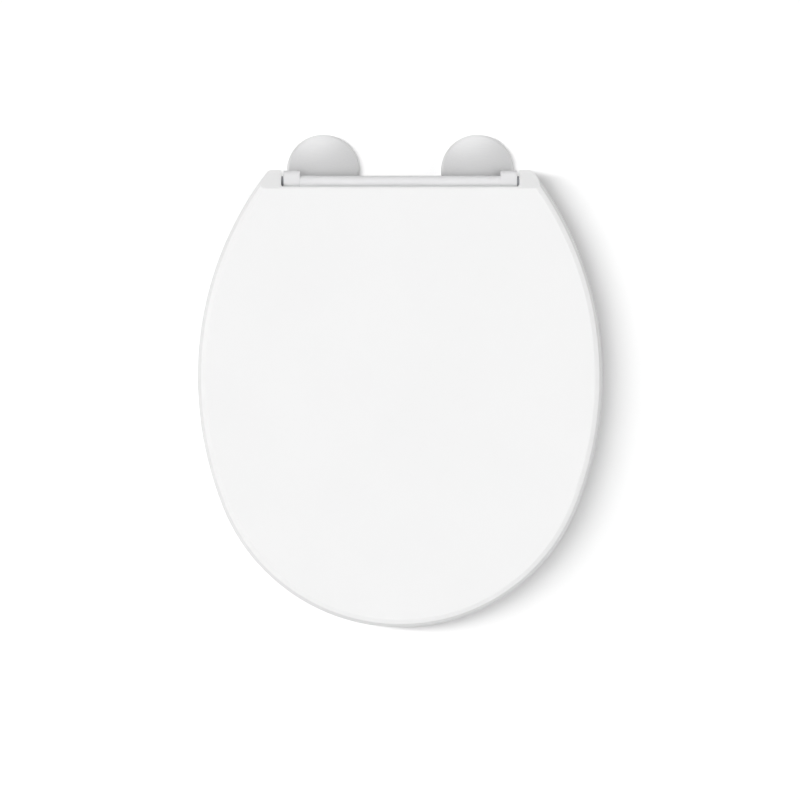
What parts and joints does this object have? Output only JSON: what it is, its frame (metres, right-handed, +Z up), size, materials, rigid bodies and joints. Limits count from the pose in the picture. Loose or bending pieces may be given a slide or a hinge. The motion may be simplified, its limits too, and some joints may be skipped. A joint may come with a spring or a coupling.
{
  "type": "toilet seat",
  "caption": "White toilet seat with ring, lid, bar hinge on two brackets with round satin cover discs, and bolt fixings.",
  "frame": {"origin": "midway between the two fixing bolts, on the rim of the pan", "axes": "+X to the right seen from the front, +Y to the rear, +Z up"},
  "size_m": [0.367, 0.447, 0.1053],
  "materials": {
    "white_moulding": "gloss",
    "cool_white_moulding": "gloss",
    "satin_steel": "satin",
    "bright_steel": "satin",
    "cast_zinc": "matte",
    "nylon": "satin",
    "soft_buffer": "matte",
    "grey_acetal": "satin",
    "black_rubber": "matte"
  },
  "bodies": {
    "base": {"hinge_rod": "bright_steel", "bar_tube": "cool_white_moulding", "hinge_washer_left": "grey_acetal", "hinge_washer_right": "grey_acetal", "hinge_bracket_left": "cast_zinc", "hinge_bracket_right": "cast_zinc", "bar_screw_left": "bright_steel", "bar_screw_right": "bright_steel", "cover_disc_left": "satin_steel", "cover_disc_right": "satin_steel", "sealing_pad_left": "black_rubber", "sealing_pad_right": "black_rubber", "fixing_bolt_left": "bright_steel", "fixing_bolt_right": "bright_steel", "rubber_cone_left": "black_rubber", "rubber_cone_right": "black_rubber", "flat_washer_left": "bright_steel", "flat_washer_right": "bright_steel", "wing_nut_left": "nylon", "wing_nut_right": "nylon"},
    "ring": {"seat_ring": "cool_white_moulding", "knuckle_bush_left": "nylon", "knuckle_bush_right": "nylon", "ring_buffer_front_left": "soft_buffer", "ring_buffer_front_right": "soft_buffer", "ring_buffer_rear_left": "soft_buffer", "ring_buffer_rear_right": "soft_buffer"},
    "lid": {"lid": "white_moulding", "ear_bush_left": "nylon", "ear_bush_right": "nylon", "ear_plug_left": "white_moulding", "ear_plug_right": "white_moulding", "lid_buffer_front_left": "soft_buffer", "lid_buffer_front_right": "soft_buffer", "lid_buffer_rear_left": "soft_buffer", "lid_buffer_rear_right": "soft_buffer"}
  },
  "joints": [
    {"name": "ring_hinge", "type": "hinge", "parent": "base", "child": "ring", "pos_m": [0, -0.01, 0.031], "axis": [-1, 0, 0], "range_deg": [0, 95]},
    {"name": "lid_hinge", "type": "hinge", "parent": "ring", "child": "lid", "pos_m": [0, -0.01, 0.031], "axis": [-1, 0, 0], "range_deg": [0, 95]}
  ]
}
